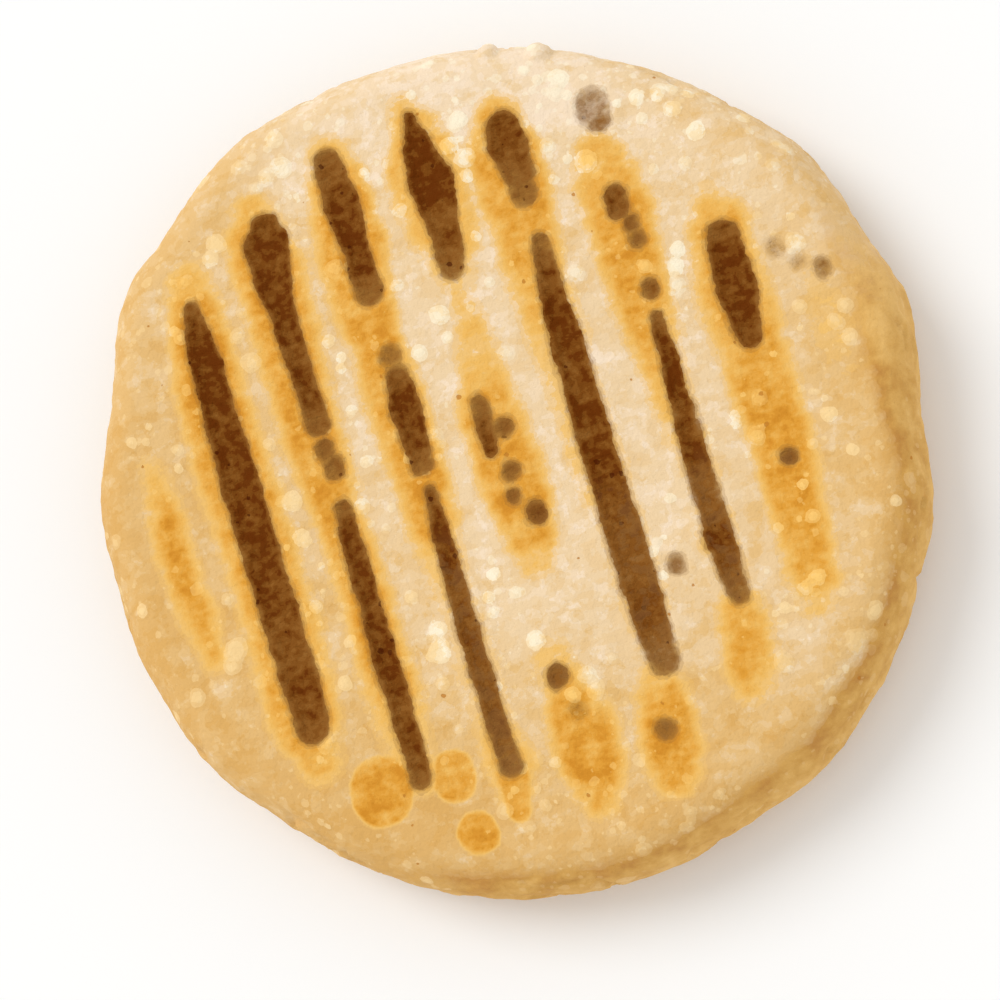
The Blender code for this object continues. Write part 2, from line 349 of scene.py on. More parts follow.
# %% Marks, as bar number and stations of along, stray, half width and burn
TOP_MARKS = [
    (1, [(-30.5, -0.75, 1, 0.55), (-26.5, -0.85, 1.6, 0.95), (-24.5, -0.9, 1.9, 1),
         (-12, -0.7, 2.25, 0.9), (-0.5, -0.45, 2.4, 0.9), (8, -0.1, 2.4, 0.85),
         (13.5, 0.1, 2.45, 0.72), (18.5, 0.25, 2.4, 0.72), (22, 0.4, 2.3, 0.9), (26.5, 0.55, 2.1, 0.6)]),
    (2, [(-38.2, 0, 1.7, 0.75), (-35.5, -0.35, 2.9, 0.88), (-32, -0.6, 2.6, 0.88),
         (-26.5, -0.5, 1.8, 0.9), (-19, -0.35, 1.4, 0.8), (-14, -0.05, 1.45, 0.8),
         (-10.5, 0.15, 1.5, 0.5)]),
    (2, [(0.5, 0.3, 0.75, 0.55), (3, 0.3, 0.95, 0.82), (7.5, 0.3, 1.25, 0.88), (13.5, 0.4, 1.4, 0.78),
         (20.5, 0.5, 1.5, 0.98), (28, 0.7, 1.4, 0.75), (31.5, 0.75, 1.35, 0.85), (36.5, 0.9, 1.3, 0.55)]),
    (3, [(-43.4, -1.1, 1.7, 0.52), (-41, -0.85, 2, 0.7), (-37.5, -0.5, 2.4, 0.85),
         (-30.8, -0.25, 1.6, 1), (-28, -0.15, 1.7, 0.8), (-25, -0.05, 1.8, 0.45)]),
    (3, [(-13.3, 0.4, 1.3, 0.5), (-11.5, 0.4, 1.6, 0.9), (-8.5, 0.45, 2.1, 0.9), (-5, 0.45, 1.7, 0.9),
         (-2.8, 0.5, 1.45, 0.65), (-1.3, 0.5, 1.3, 0.5)]),
    (3, [(2.5, 0.4, 0.75, 0.6), (7.5, 0.35, 1.15, 0.9), (12, 0.4, 1.2, 0.95), (16, 0.4, 1.25, 0.72),
         (22, 0.5, 1.35, 0.88), (25.5, 0.55, 1.35, 0.7), (32.5, 0.75, 1.35, 0.78), (38.5, 0.9, 1.25, 0.42)]),
    (4, [(-46, -0.25, 0.35, 0.9), (-41, -0.05, 1.95, 1), (-36.5, 0.3, 2.9, 0.97),
         (-33.5, 0.3, 2.45, 1), (-31, 0.3, 2.1, 0.72), (-28.8, 0.25, 1.85, 0.75),
         (-24.5, 0.1, 1.5, 0.5)]),
    (4, [(-6.5, -1.4, 0.85, 0.5), (-3.5, -1.6, 1.1, 0.72), (-0.5, -1.7, 0.85, 0.95)]),
    (5, [(-40.4, 0, 2.1, 0.8), (-37.5, 0.1, 2.4, 0.72), (-33.5, 0.45, 1.9, 0.5)]),
    (5, [(-24.3, 0.55, 1, 0.42), (-20, 0.35, 1.35, 0.7), (-15, 0.2, 1.75, 1), (-8, 0.15, 2.05, 0.8),
         (4.5, 0.05, 2.1, 0.92), (10.5, 0.15, 2.15, 0.82), (19.5, 0.25, 2.2, 0.7), (23.5, 0.3, 2.1, 0.88),
         (27, 0.3, 1.95, 0.75), (31.5, 0.45, 1.7, 0.35)]),
    (6, [(-10, 0.75, 0.65, 0.5), (-7, 0.7, 0.95, 0.9), (0.5, 0.5, 1.2, 0.98), (3, 0.45, 1.3, 0.7),
         (8, 0.3, 1.4, 0.95), (11, 0.3, 1.4, 0.65), (16, 0.3, 1.55, 0.66), (18.7, 0.25, 1.6, 0.98),
         (23, 0.35, 1.35, 0.75), (26.5, 0.4, 1.15, 0.45)]),
    (7, [(-17.2, 0.3, 2.1, 0.75), (-15.5, 0.2, 2.2, 0.95), (-10.5, 0.05, 2.45, 0.92),
         (-4.5, -0.1, 1.7, 0.8)]),
]

# Small scorched spots: bar number, along, stray, half length, half width and burn
TOP_SPOTS = [
    (2, -6.8, 0.2, 1.4, 1, 0.45), (2, -4.4, 0.7, 1.5, 1.1, 0.5), (3, -16, 0.3, 1.4, 1.3, 0.15),
    (4, -2.7, 0.6, 1.2, 1.1, 0.55), (4, 3, 0, 1.2, 1.1, 0.35), (4, 6.3, -0.5, 0.9, 0.7, 0.55),
    (4, 9.1, 1.6, 1.5, 1.2, 0.7), (4, 29.5, -1.5, 1.4, 1.25, 0.6), (4, 34.2, -0.1, 1, 0.9, 0),
    (5, -31, 0.3, 1.8, 1.8, 0.35), (5, 39.6, -1.8, 1.2, 1.2, 0.25), (6, -26, 0.1, 2.2, 1.4, 0.75),
    (6, -22.6, 1.1, 1.1, 0.8, 0.45), (6, -20.4, 1.1, 1.1, 0.85, 0.35), (6, -13.9, 1, 1.2, 1, 0.5),
    (6, 18.9, -0.7, 1.7, 0.95, 0.95), (7, 12, 0, 1, 0.9, 0.6), (6, -39.2, 0.5, 2.4, 2.15, 0.08),
    (6, -37.6, 0.9, 1.7, 1.4, 0.3), (6, 20.6, -5.8, 1, 1, 0.25), (7, -9.4, 10.9, 1.1, 0.85, 0.15),
    (7, -13.9, 6.2, 1, 0.9, 0), (7, -11.2, 8.3, 0.8, 0.75, 0),
]


SHORTEST_MIDDLE = 0.05


def bar_place(bar, stray):
    """How far across the grate a bar lies, with the stray of a mark on it."""
    return TOP_FIRST_BAR + BAR_PITCH * bar + stray


def stroke_field(along, across, stations):
    """Distance to the edge of a tapered stroke, negative inside it, and the value carried along it.

    Formula: for each stretch between two stations, find the nearest place on its middle line, and
    take the half width there from the distance to it. The nearest stretch wins.
    """
    distance = np.full(along.shape, np.inf)
    carried = np.zeros(along.shape)
    for start, end in zip(stations, stations[1:]):
        part = np.clip((along - start[0]) / (end[0] - start[0]), 0, 1)
        middle_along, middle_across, half_width, value = (a + (b - a) * part for a, b in zip(start, end))
        away = np.hypot(along - middle_along, across - middle_across) - half_width
        carried = np.where(away < distance, value, carried)
        distance = np.minimum(away, distance)
    return distance, carried


def nearest_stroke(along, across, strokes):
    """The field of several strokes together: at each point, the one whose edge is nearest."""
    distance = np.full(along.shape, np.inf)
    carried = np.zeros(along.shape)
    for stations in strokes:
        away, value = stroke_field(along, across, stations)
        carried = np.where(away < distance, value, carried)
        distance = np.minimum(away, distance)
    return distance, carried


def on_bar(bar, stations):
    """Stations with their stray turned into a place across the grate."""
    return [(along, bar_place(bar, stray), *rest) for along, stray, *rest in stations]


def spot_stroke(bar, along, stray, half_length, half_width, burn):
    """A small scorched spot as a stroke that is only as long as its length exceeds its width."""
    middle = max(half_length - half_width, SHORTEST_MIDDLE)
    across = bar_place(bar, stray)
    return [(along - middle, across, half_width, burn), (along + middle, across, half_width, burn)]


top_strokes = [on_bar(bar, stations) for bar, stations in TOP_MARKS]
top_strokes += [spot_stroke(*spot) for spot in TOP_SPOTS]
print(len(TOP_MARKS), "bar marks and", len(TOP_SPOTS), "scorched spots on the top")

# %% [markdown]
# The underside lay on the same grate first, turned a little. Every bar carried the whole weight of
# the cake there, so its marks run right across, and only their burn comes and goes.

# %% Marks under the base
BASE_MARK_HALF_WIDTH = 1.7
BASE_MARK_SWELL = 0.35
BASE_MARK_PINCH = 0.5
BASE_REACH = 42.2
BASE_STATIONS = 9

# Waves along a base mark, as height, turns along the mark and turns from one bar to the next
BASE_SWAY = (0.4, 2.6, 1.0)
BASE_BURN = 0.65
BASE_BURN_WAVE = (0.25, 4.1, 1.9)


def mark_wave(wave, step, number):
    """A slow wave along a mark, which starts elsewhere on each bar. Formula: one sine."""
    height, along, between = wave
    return height * math.sin(along * step + between * number)


def base_stroke(number):
    """One bar's mark under the base: a chord of the foot, narrow at its ends, its burn in waves."""
    across = BAR_PITCH * (number - (BASE_BAR_COUNT - 1) / 2)
    reach = math.sqrt(BASE_REACH ** 2 - across ** 2)
    stations = []
    for step in np.linspace(-1, 1, BASE_STATIONS):
        middle_width = BASE_MARK_HALF_WIDTH + BASE_MARK_SWELL * (number % 2)
        half_width = middle_width * (1 - BASE_MARK_PINCH * step ** 4)
        stray = mark_wave(BASE_SWAY, step, number)
        burn = BASE_BURN + mark_wave(BASE_BURN_WAVE, step, number)
        stations.append((reach * step, across + stray, half_width, burn))
    return stations


base_strokes = [base_stroke(number) for number in range(BASE_BAR_COUNT)]

# %% Distance to the char over the whole crust
EDGE_WANDER = 0.28
CHAR_REACH = 6.0
BASE_LIMIT = 1.0
TOP_LIMIT = 15.0


def char_fields(points):
    """Distance to the nearest char and how burnt it is, for the top and the underside.

    Formula: the nearest stroke of each grate. Above the height where the base ends, twice the
    height is added under the belly, so that a mark doesn't climb the foot.
    """
    wander_along = EDGE_WANDER * layered_lumps(points, 4.0, seed=11)
    wander_across = EDGE_WANDER * layered_lumps(points, 3.0, seed=23)
    upper = points[:, 2] > BELLY_HEIGHT
    fields = []
    for turn, strokes in ((TOP_GRATE_TURN, top_strokes), (BASE_GRATE_TURN, base_strokes)):
        along, across = grate_axes(points, turn)
        fields.append(nearest_stroke(along + wander_along, across + wander_across, strokes))
    distance = np.where(upper, fields[0][0], fields[1][0] + 2 * np.maximum(points[:, 2] - BASE_LIMIT, 0))
    burn = np.where(upper, fields[0][1], fields[1][1])
    return np.minimum(distance, CHAR_REACH), burn


char_mm, burn = char_fields(bare)
on_top = bare[:, 2] > TOP_LIMIT
print("charred share of the top:", (char_mm[on_top] < 0).mean().round(3))

# %% [markdown]
# ## Golden toast
# Round each mark the crust turns golden, and it also toasts where a bar came near and never quite
# touched. Those zones are strokes too, only wider and with soft edges, and a few small patches have
# crisp ones. The side browned as well, in a band that is read from stations round the cake; that
# band also carries painted shade, strongest on the side away from the sun.

# %% Golden zones, as bar number and stations of along, stray, half width and strength
GOLDEN_ZONES = [
    (0, [(-12, -0.2, 0.5, 0.5), (-5, -0.15, 1.3, 0.9), (1, 0.15, 1.35, 0.95), (5, 0.35, 1.5, 0.95),
         (8, 1, 1.2, 0.92), (11, 1.35, 0.7, 0.85), (14.5, 1.5, 0.2, 0.85)]),
    (1, [(-33.5, -0.6, 1.9, 0.7), (-28.5, -0.6, 2.9, 1.05), (-20, -1.4, 3.2, 1.1),
         (-11, -1.2, 3.6, 1), (-5, -0.8, 4, 0.88), (5, -0.3, 3.9, 0.85),
         (15, 0.1, 4, 0.8), (26, -0.3, 3.5, 0.85), (30.5, -0.1, 2, 0.7)]),
    (2, [(-40.5, -1.4, 1.5, 0.8), (-37, -1.8, 2.5, 0.95), (-32, -0.7, 3.6, 1),
         (-28, -0.65, 3.3, 0.92), (-22, -1, 3.2, 0.95), (-15, -1, 2.9, 1),
         (-6, -0.8, 2.75, 0.92), (1.5, -0.55, 2.3, 0.95), (8, -0.2, 2.3, 0.9),
         (18, 0.45, 2, 0.95), (23.5, 0.25, 2.4, 1), (28, 0.35, 2.3, 0.65),
         (31, 0.45, 2.2, 0.5), (36, 0.6, 2.1, 0.75)]),
    (3, [(-44, -0.4, 1.9, 0.65), (-39.5, -0.3, 3.3, 0.9), (-32, -0.9, 3.8, 0.98),
         (-25, -1, 3.1, 0.86), (-18, -0.85, 2.5, 0.97), (-12, -0.6, 3.1, 0.82),
         (-3, -0.25, 2.9, 0.93), (1.5, -0.05, 2.5, 1), (6.5, -0.4, 2, 0.88),
         (11, -0.6, 1.5, 0.4), (20, -0.1, 1.5, 0.3), (30, 0.3, 1.6, 0.38), (38, 1.1, 2.2, 0.75)]),
    (4, [(-47.3, -0.6, 1.1, 0.6), (-44, 0.1, 2.3, 0.68), (-39, 0.1, 4, 0.76),
         (-34, 0.2, 4.1, 0.74), (-28, 0.3, 3.1, 0.62), (-22, 0.1, 1.3, 0.35)]),
    (4, [(-21, -0.3, 0.6, 0.5), (-17, 0.1, 1, 0.6), (-13, -0.1, 1.6, 0.5),
         (-8, -0.7, 2.8, 0.78), (-2, -0.6, 3.15, 0.97), (3, -0.1, 3.25, 1), (8, 0.35, 2.8, 0.95),
         (12, 0.2, 2.2, 0.85), (14.5, 0, 1.4, 0.6)]),
    (4, [(27, -1.2, 1.6, 0.45), (31, -1.1, 1.7, 0.75), (34, -0.8, 2.5, 0.97),
         (37, -0.45, 3.3, 0.93), (40, -0.35, 3.15, 0.96), (43, -0.65, 2.2, 0.95),
         (46, -0.6, 0.9, 0.9)]),
    (5, [(-41.5, -0.4, 2, 0.85), (-37, -0.7, 3.6, 0.9), (-32, -0.9, 3.9, 0.92),
         (-27, -0.75, 3.2, 0.88), (-21, -0.8, 2.7, 0.85), (-15, -0.9, 2.6, 0.65),
         (-8, -0.9, 2.5, 0.38), (0, -0.7, 2.4, 0.42), (8, -0.6, 2.4, 0.45)]),
    (5, [(33.5, -0.8, 1.2, 0.6), (36, -0.75, 2.2, 0.86), (39, -1.1, 2.6, 1),
         (42, -1.45, 2.5, 1.05), (45.1, -1.85, 1.9, 1)]),
    (6, [(-32.3, -0.5, 2.6, 0.75), (-28.5, -0.2, 3.4, 0.76), (-24, -0.05, 3.3, 0.92),
         (-18, -0.2, 2.95, 0.97), (-12, -0.45, 2.5, 0.95), (-8, -0.5, 2.15, 0.82),
         (-3, -1.2, 1.1, 0.78), (2, -1.1, 0.6, 0.75), (7, -0.9, 0.3, 0.5)]),
    (6, [(28.3, 0.2, 1.4, 0.9), (31, -0.15, 2.2, 0.88), (34, -0.6, 2.4, 0.82), (37.3, -1.1, 1.3, 0.74)]),
    (7, [(-21.6, -0.3, 1.5, 0.6), (-18, -0.1, 2.9, 0.9), (-12, -0.3, 3.5, 0.76),
         (-4, -0.2, 3.4, 0.83), (2, -0.4, 2.95, 0.93), (8, -0.6, 2.95, 0.97), (14, -0.4, 2.85, 1),
         (18, -1, 2.25, 0.93), (24, -1.15, 2.1, 0.84), (27, -1.45, 1.9, 0.8),
         (30, -1.7, 1, 0.55)]),
    (8, [(-8, -1.6, 1.2, 0.25), (-2, -1.4, 1.7, 0.35), (3, -1.2, 1, 0.2)]),
    (3, [(39.5, 1, 1.7, 0.9), (41.5, 0.7, 1.3, 0.9)]),
]
GOLDEN_EDGE = (2.75, -0.95)
FRINGE_WANDER = 0.6

# Crisp golden patches by the marks' ends, with the same columns
GOLDEN_PATCHES = [
    (2, [(36.3, -4.35, 4, 0.97), (37.2, -4.3, 4.1, 0.97)]),
    (2, [(36.9, 4.95, 2.7, 0.88), (38, 4.9, 2.8, 0.88)]),
    (3, [(44.7, -5.4, 2.5, 0.89), (45.2, -5.3, 2.5, 0.89)]),
    (3, [(40, 1, 2.2, 0.85), (43.3, 0.5, 1.9, 0.85)]),
]
PATCH_EDGE = (0.40, -0.40)
HAZE_EDGE = (4.4, 0.6)
HAZE_TAN = 0.09
GOLDEN_WANDER = 0.3
HALO_REACH = 1.1
HALO_STRENGTH = 0.35

SIDE_LENGTH = 12.0
MEAN_RADIUS = 53.6
WALL_START = (0.25, 0.6)
WALL_FOOT = 0.5
BAND_REACH = 9.0

# The side's browned band, partly toast and partly painted shade that is strongest and darkest on the
# side away from the sun: direction in degrees, start down the side, paleness and cover
BAND_STATIONS = [
    (-150, 0.90, 0.8, 0.5), (-105, 0.70, 0.5, 0.3), (-97, 0.42, 0.1, 0.2), (-93, 0.42, -0.1, 1.0),
    (-88, 0.40, -0.4, 1.0), (-74, 0.40, -0.3, 1.0), (-66, 0.39, 0.1, 1.0), (-45, 0.37, 0.1, 1.0),
    (-30, 0.38, 0.1, 1.0), (-15, 0.37, 0.0, 1.0), (-5, 0.29, 0.0, 1.0), (3, 0.20, 0.1, 1.0),
    (10, 0.06, 0.1, 1.0), (15, -0.03, 0.25, 1.0), (20, -0.02, 0.6, 0.9), (27, 0.0, 0.8, 0.55),
    (34, 0.05, 1.0, 0.15), (45, 0.50, 1.0, 0.0), (60, 0.90, 0.9, 0.5),
]

# The share of the way out over which the band fades in, so that it ends a little way under the base
BAND_FADE = (0.55, 0.88)


def golden_field(points):
    """How toasted the crust is, from 0 to about 1, and the faint haze of tan round every zone.

    Formula: a zone fades out over its soft edge, a patch over a crisp one, and the halo falls off
    with the square of the distance to the char. The strongest of the three wins.
    """
    along, across = grate_axes(points, TOP_GRATE_TURN)
    wander = GOLDEN_WANDER * layered_lumps(points, 4.0, seed=41)
    upper = points[:, 2] > BELLY_HEIGHT
    zones = [on_bar(bar, stations) for bar, stations in GOLDEN_ZONES]
    edge, strength = nearest_stroke(along + wander, across + wander, zones)
    fringe, core = GOLDEN_EDGE
    zone = strength * soft_step(edge, fringe + FRINGE_WANDER * lumps(points, 8.0, seed=43), core)
    patches = [on_bar(bar, stations) for bar, stations in GOLDEN_PATCHES]
    patch_edge, patch_strength = nearest_stroke(along + wander, across + wander, patches)
    patch = patch_strength * soft_step(patch_edge, *PATCH_EDGE)
    halo = HALO_STRENGTH * burn * np.exp(-(np.maximum(char_mm, 0) / HALO_REACH) ** 2)
    haze = strength * soft_step(edge, *HAZE_EDGE)
    return np.maximum(np.maximum(zone, patch) * upper, halo), haze * upper


def down_the_side(share, height):
    """How far down the side a point lies: 0 at the shoulder, 1 at the belly and 2 at the foot.

    Formula: the turn of the quarter ellipse that the point lies on, as a share of a right angle; on
    the flat top, the distance inwards from the shoulder as a share of the side's length, below 0.
    """
    shoulder = np.arcsin(np.clip((share - SHOULDER_SHARE) / (1 - SHOULDER_SHARE), 0, 1)) * 2 / np.pi
    foot = np.arcsin(np.clip((share - FOOT_SHARE) / (1 - FOOT_SHARE), 0, 1)) * 2 / np.pi
    inwards = np.clip(share - SHOULDER_SHARE, None, 0) * MEAN_RADIUS / SIDE_LENGTH
    return np.where(height > BELLY_HEIGHT, shoulder + inwards, 2 - foot)


def browned_and_shaded_band(direction, down):
    """Distance below the upper edge of the side's band of toast and painted shade, in mm, its paleness and
    its cover.

    Formula: all three are read from a few stations round the cake, joined by straight lines.
    """
    station, *columns = np.array(BAND_STATIONS).T
    edge, pale, cover = (np.interp(np.degrees(direction), station, column, period=360) for column in columns)
    return (down - edge) * SIDE_LENGTH, pale, cover


golden, haze = golden_field(bare)
down = down_the_side(share, height)
wall = soft_step(down, *WALL_START) * (height > WALL_FOOT)
band_mm, band_pale, band_cover = browned_and_shaded_band(direction, down)
band_mm = np.clip(band_mm, -BAND_REACH, BAND_REACH)
band_cover = band_cover * soft_step(share, *BAND_FADE)
print("golden share of the top:", (golden[on_top] > 0.5).mean().round(3))

# %% [markdown]
# ## Pale floury spots
# Coarse meal near the surface puffs up as it dries and leaves round pale spots, from pinheads to
# peas cut in half, often several run together. The largest are listed one by one, a few hundred more
# are scattered in clusters from a seeded die, and pinheads are left to the shader.

# %% The largest spots, as across, along, radius and paleness
LARGE_SPOTS = [
    (2.5, -48.5, 0.7, 0.7), (7, -38, 1.3, 0.6), (6.5, -35.5, 0.8, 0.95), (17.5, -36, 1.1, 0.45),
    (19.5, -33.5, 0.7, 0.7), (17, -31.5, 0.8, 0.6), (15, -33.5, 0.8, 0.6), (18, -41.5, 0.5, 0.7),
    (30, -38.5, 1.1, 0.9), (27.5, -38.5, 0.7, 0.8), (32.5, -37.5, 1, 0.95), (33, -38.7, 1.2, 0.6),
    (34, -35.5, 1.2, 0.8), (30, -35.5, 0.8, 0.65), (36, -31.5, 1.3, 1), (29.5, -28.5, 0.7, 0.6),
    (33.5, -28, 0.9, 0.5), (21.5, -32.3, 1.5, 0.75), (5.5, -27.5, 0.8, 0.7), (5.5, -21, 0.7, 0.6),
    (-3, -34, 0.9, 0.6), (-6, -24.5, 0.9, 0.55), (-1.7, -19, 1.4, 0.8), (-1.5, -16, 0.9, 0.65),
    (-5.5, -15, 1.2, 0.7), (16.5, -18.5, 1.2, 0.35), (5, -11.5, 1.1, 0.3), (45, -27, 0.9, 0.55),
    (46, -26, 1.1, 0.35), (44, -24, 1.1, 0.4), (29.5, -17.5, 0.9, 1), (28.5, -15.5, 1.1, 1),
    (43.5, -13.5, 1.3, 0.5), (44, -17, 0.5, 0.8), (-27.5, -38, 1.4, 0.75), (-27, -21, 1.3, 0.6),
    (-16.5, -20.5, 0.9, 0.8), (-15.5, -18, 0.7, 1), (-16, -16.5, 0.7, 0.9), (-16, -11, 0.7, 0.7),
    (-27.5, -10, 0.9, 0.6), (-28, -25, 1.2, 0.5), (-16.5, -49, 1.4, 0.6), (-16.5, -45, 1.6, 0.6),
    (-18.8, -44.5, 1.2, 0.5), (-22, -47, 1.1, 0.45), (-28.7, -36.3, 1.2, 0.8), (-20.5, -43.5, 0.9, 0.4),
    (-13.5, -29.5, 1.3, 0.4),
    (28, -13, 1.1, 0.45), (46.5, 0, 1.1, 0.6), (47, -4, 1.1, 0.55), (45.5, -2.5, 1.1, 0.5),
    (42.5, 13.5, 0.8, 0.95), (30.2, 5, 0.7, 0.9), (30, 6, 0.7, 0.9), (-26.5, -2, 1.3, 0.9),
    (-26.5, 3, 1.2, 0.95), (-16, -4, 0.8, 0.8), (-24, 17.5, 0.8, 0.85), (-38.5, 14, 1.6, 0.6),
    (-39.5, 16, 1.1, 0.55), (-45, 18.5, 1.2, 0.5), (-38, 7.5, 0.8, 0.5), (-50.5, -4.5, 1.1, 0.4),
    (-13, 19.5, 1.2, 0.75), (-13.5, 22, 1.6, 0.85), (-4.2, 15, 0.8, 1), (-5.5, 17.5, 0.9, 0.9),
    (-2, 18, 0.9, 0.6), (-5.5, 19.5, 0.8, 0.6), (-15, 14.5, 0.9, 0.7), (-1.5, 24.5, 1.3, 0.85),
    (-14, 26, 0.9, 0.55), (19.5, 12.5, 0.8, 0.7), (3.5, 30.5, 1.2, 0.6), (4.2, 32.5, 1.2, 0.55),
    (27, 36, 1.3, 0.35), (36, 36, 1.6, 0.35), (4, 52.5, 1.1, 0.5), (17.5, 17, 0.4, 0.9),
]

# %% The smaller spots, scattered in clusters
CLUSTER_COUNT = 200
CLUSTER_SIZE = (1, 5)
CLUSTER_SPREAD = 1.6
SPOT_RADII = (0.35, 1.25)
SMALL_SPOTS = 2.2
SPOT_PALENESS = (0.25, 0.9)
SPOT_WANDER = 0.25
SPOT_REACH = 3.0
LEAST_CHANCE = 0.25
CALM_EDGE = (1.5, -1.0)
PATCHINESS = (-0.55, 0.5)
SHOULDER_DROP = 3.0

# Strips with few spots, as stations of along, across, half width and how many of the spots go
CALM_STRIPS = [
    [(-18.0, 7.5, 2.5, 0.85), (14.0, 7.0, 4.5, 0.85), (30.0, 12.0, 3.0, 0.85)],
    [(-30.0, 18.0, 1.5, 0.85), (0.0, 18.5, 3.0, 0.85), (30.0, 19.0, 3.5, 0.85)],
]


def spot_chance(points):
    """How likely a spot is at each point: rare in the two calm strips and in the char."""
    along, across = grate_axes(points, TOP_GRATE_TURN)
    calm_edge, calmness = nearest_stroke(along, across, CALM_STRIPS)
    calm = calmness * soft_step(calm_edge, *CALM_EDGE) * (points[:, 2] > BELLY_HEIGHT)
    patchy = soft_step(layered_lumps(points, 11.0, seed=61), *PATCHINESS)
    return (LEAST_CHANCE + (1 - LEAST_CHANCE) * patchy) * (1 - calm)


def point_areas(points):
    """The share of surface that belongs to each point: a third of every triangle round it."""
    corners = points[triangles]
    sides = np.cross(corners[:, 1] - corners[:, 0], corners[:, 2] - corners[:, 0])
    area = np.linalg.norm(sides, axis=1) / 6
    return np.bincount(triangles.ravel(), np.repeat(area, 3), len(points))


def scattered_spots(points, chance, dice):
    """Centres, radii and paleness of the clusters, thrown by the seeded die."""
    weight = chance * point_areas(points)
    start = dice.choice(len(points), CLUSTER_COUNT, p=weight / weight.sum())
    members = dice.integers(CLUSTER_SIZE[0], CLUSTER_SIZE[1] + 1, CLUSTER_COUNT)
    middle = np.repeat(points[start], members, axis=0)
    sideways = dice.normal(0, CLUSTER_SPREAD, middle.shape)
    facing = np.repeat(normal[start], members, axis=0)
    sideways -= facing * (sideways * facing).sum(axis=1, keepdims=True)
    small, large = SPOT_RADII
    radius = small + (large - small) * dice.random(len(middle)) ** SMALL_SPOTS
    return middle + sideways, radius, dice.uniform(*SPOT_PALENESS, len(middle))


def placed_spots():
    """Centres, radii and paleness of the listed spots, lifted onto the top."""
    across, along, radius, paleness = np.array(LARGE_SPOTS).T
    turn = TOP_GRATE_TURN
    x = along * math.cos(turn) - across * math.sin(turn)
    y = along * math.sin(turn) + across * math.cos(turn)
    rim_share = np.hypot(x, y) / rim_distance(np.arctan2(y, x))
    over_shoulder = np.maximum(rim_share - SHOULDER_SHARE, 0) / (1 - SHOULDER_SHARE)
    level = top_height(rim_share) - SHOULDER_DROP * over_shoulder
    return np.stack([x, y, level + ripples(x, y)], axis=1), radius, paleness


def spot_fields(points, centres, radii, paleness):
    """Distances to the edges of the nearest two spots, and the nearest one's paleness.

    Formula: distance to a spot's centre less its radius, less a wander that makes it less round.
    """
    edge = np.full(len(points), SPOT_REACH)
    second = np.full(len(points), SPOT_REACH)
    pale = np.zeros(len(points))
    wander = SPOT_WANDER * lumps(points, 1.3, seed=71)
    for centre, radius, tone in zip(centres, radii, paleness):
        away = np.linalg.norm(points - centre, axis=1) - radius + wander * radius
        pale = np.where(away < edge, tone, pale)
        second = np.minimum(second, np.maximum(edge, away))
        edge = np.minimum(edge, away)
    return edge, second, pale


SPOT_SEED = 8
dice = np.random.default_rng(SPOT_SEED)
chance = spot_chance(bare)
scattered = scattered_spots(bare, chance, dice)
placed = placed_spots()
spots = [np.concatenate(pair) for pair in zip(placed, scattered)]
spot_mm, second_mm, paleness = spot_fields(bare, *spots)
print(len(spots[0]), "floury spots, over", (spot_mm < 0).mean().round(3), "of the crust's points")

# %% [markdown]
# ## Relief
# All of the crust's real unevenness goes into the mesh as a push along each point's outward
# direction: patted lumps, the grooves and the lips beside them, puffed spots, the blistered char,
# and fine cracks on the wall, where the dough stretched as it was pressed.

# %% Push the crust in and out
GROOVE_DEPTH = 0.75
GROOVE_EDGE = (0.5, -1.7)
LIGHT_GROOVE = 0.55
LIP_HEIGHT = 0.10
LIP_PLACE = 1.0
LIP_WIDTH = 0.7
BLISTER_HEIGHT = 0.07
PUFF_HEIGHT = 0.14
PUFF_EDGE = (0.15, -0.55)
CRACK_DEPTH = 0.65
CRACK_WIDTH = 0.16
STEEP_CRACKS = 0.6
LEVEL_STRETCH = np.array([0.22, 0.22, 1.0])
STEEP_STRETCH = np.array([0.8, 0.8, 0.35])
PATTED_HEIGHT = 0.15
PATTED_ON_WALL = 0.6
GRAIN_ON_WALL = 2.7
DEEPEST = -1.2
HIGHEST = 0.42

# The finer lumps, as height, size and seed
GRAIN_LUMPS = [(0.07, 4.0, 103), (0.045, 1.9, 105), (0.03, 1.0, 107)]


def ridges(points, size, seed):
    """Thin lines along the zero level of smooth lumps, 1 on a line and 0 away from it."""
    return 1 - soft_step(np.abs(lumps(points, size, seed)), 0.0, CRACK_WIDTH)


def groove_push(points):
    """The grooves: deepest in the middle of a mark, where it is wide enough, with a low lip."""
    depth = soft_step(char_mm, *GROOVE_EDGE) * (LIGHT_GROOVE + (1 - LIGHT_GROOVE) * burn)
    lip = np.exp(-((char_mm - LIP_PLACE) / LIP_WIDTH) ** 2)
    blistered = lumps(points, 1.5, seed=83) * soft_step(char_mm, 0.0, -0.5)
    return LIP_HEIGHT * lip - GROOVE_DEPTH * depth + BLISTER_HEIGHT * blistered


def crack_push(points):
    """Cracks round the wall: level, wandering lines in patches, deepest at the belly.

    Formula: the zero lines of lumps that are drawn out level, and some shorter, steeper ones.
    """
    level = ridges(points * LEVEL_STRETCH, 2.3, seed=91) * soft_step(lumps(points, 9.0, seed=93), -0.3, 0.3)
    steep = ridges(points * STEEP_STRETCH, 2.6, seed=95) * soft_step(lumps(points, 5.0, seed=97), 0.1, 0.5)
    lines = np.maximum(level, STEEP_CRACKS * steep)
    return -CRACK_DEPTH * lines * soft_step(wall, 0.5, 1.0)


def lump_push(points):
    """Lumps of four sizes: broad patted ones on the flat of the top, and finer ones, more on the wall."""
    patted = PATTED_HEIGHT * lumps(points, 9.0, seed=101) * (1 + (PATTED_ON_WALL - 1) * wall)
    grainy = sum(rise * lumps(points, size, seed) for rise, size, seed in GRAIN_LUMPS)
    return patted + grainy * (1 + (GRAIN_ON_WALL - 1) * wall)


